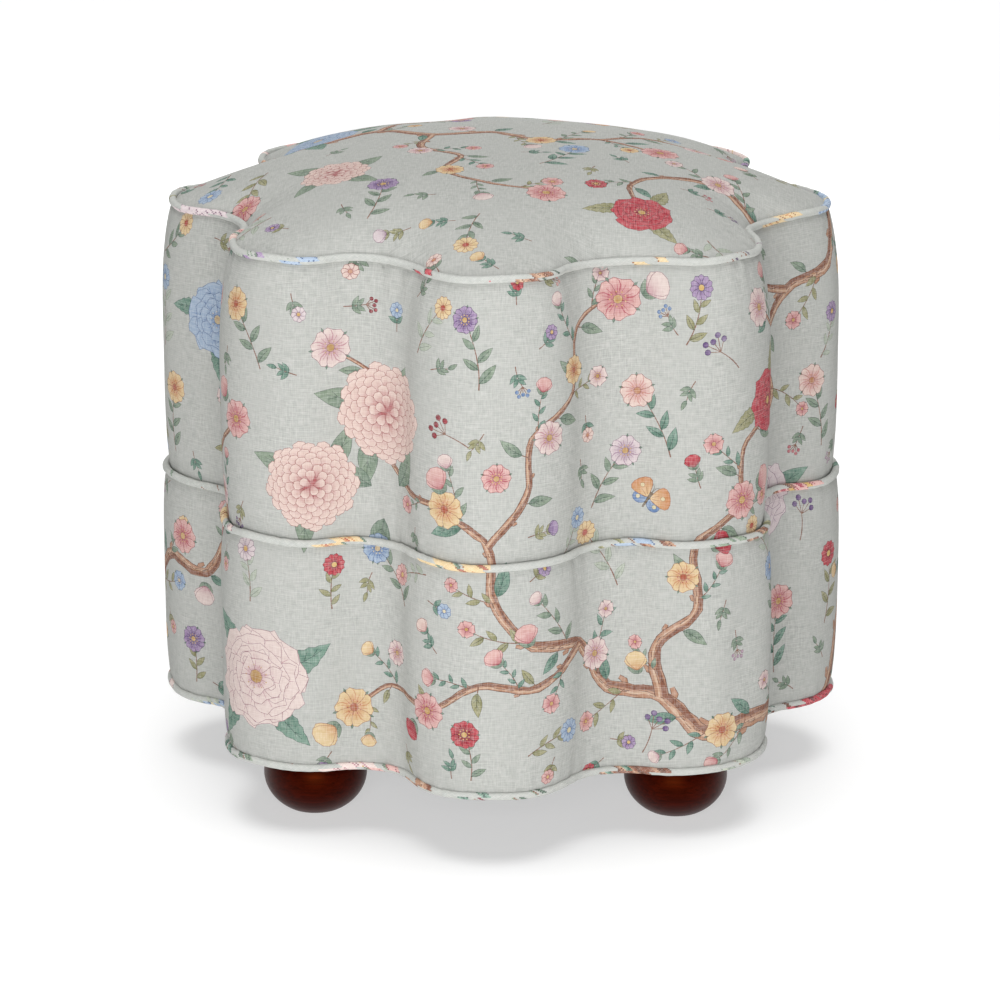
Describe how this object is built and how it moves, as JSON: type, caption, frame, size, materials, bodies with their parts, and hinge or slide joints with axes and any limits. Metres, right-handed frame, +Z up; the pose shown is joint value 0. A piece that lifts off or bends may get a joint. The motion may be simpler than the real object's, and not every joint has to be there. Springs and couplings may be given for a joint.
{
  "type": "scalloped upholstered tuffet",
  "caption": "Low upholstered stool of equal round lobes with a crowned seat, piped seams and a flat-bottomed bun foot under every second lobe.",
  "frame": {"origin": "on the floor under the middle of the tuffet, level with the flat bases of the feet", "axes": "+Z up through the middle of the seat, -Y towards the lobe that faces the viewer in the picture, +X to the viewer's right; the feet stand on the diagonals"},
  "size_m": [0.5114, 0.5114, 0.4703],
  "materials": {
    "linen": "matt slubbed linen in a pale duck-egg grey, printed all over with flowers, leaves and branches",
    "cambric": "black non-woven cambric",
    "wadding": "white polyester wadding",
    "foam": "cream upholstery foam",
    "card": "plain upholsterer's board",
    "plywood": "sanded birch plywood",
    "softwood": "planed pine",
    "mahogany": "turned hardwood with a dark red-brown mahogany stain under satin lacquer",
    "zinc_steel": "bright zinc-plated steel"
  },
  "bodies": {
    "root": {"lower_border_cover": "linen", "upper_border_cover": "linen", "top_cover": "linen", "bottom_piping": "linen", "middle_piping": "linen", "top_piping": "linen", "dust_cover": "cambric", "lower_wall_wadding": "wadding", "upper_wall_foam": "foam", "seat_wadding": "wadding", "seat_foam": "foam", "lower_wall_card": "card", "upper_wall_card": "card", "base_board": "plywood", "middle_board": "plywood", "seat_board": "plywood", "post_1": "softwood", "cleat_1": "softwood", "base_screw_1": "zinc_steel", "seat_screw_1": "zinc_steel", "cleat_screw_1": "zinc_steel", "bun_foot_1": "mahogany", "hanger_bolt_1": "zinc_steel", "tee_nut_1": "zinc_steel", "post_2": "softwood", "cleat_2": "softwood", "base_screw_2": "zinc_steel", "seat_screw_2": "zinc_steel", "cleat_screw_2": "zinc_steel", "bun_foot_2": "mahogany", "hanger_bolt_2": "zinc_steel", "tee_nut_2": "zinc_steel", "post_3": "softwood", "cleat_3": "softwood", "base_screw_3": "zinc_steel", "seat_screw_3": "zinc_steel", "cleat_screw_3": "zinc_steel", "bun_foot_3": "mahogany", "hanger_bolt_3": "zinc_steel", "tee_nut_3": "zinc_steel", "post_4": "softwood", "cleat_4": "softwood", "base_screw_4": "zinc_steel", "seat_screw_4": "zinc_steel", "cleat_screw_4": "zinc_steel", "bun_foot_4": "mahogany", "hanger_bolt_4": "zinc_steel", "tee_nut_4": "zinc_steel"}
  },
  "joints": []
}
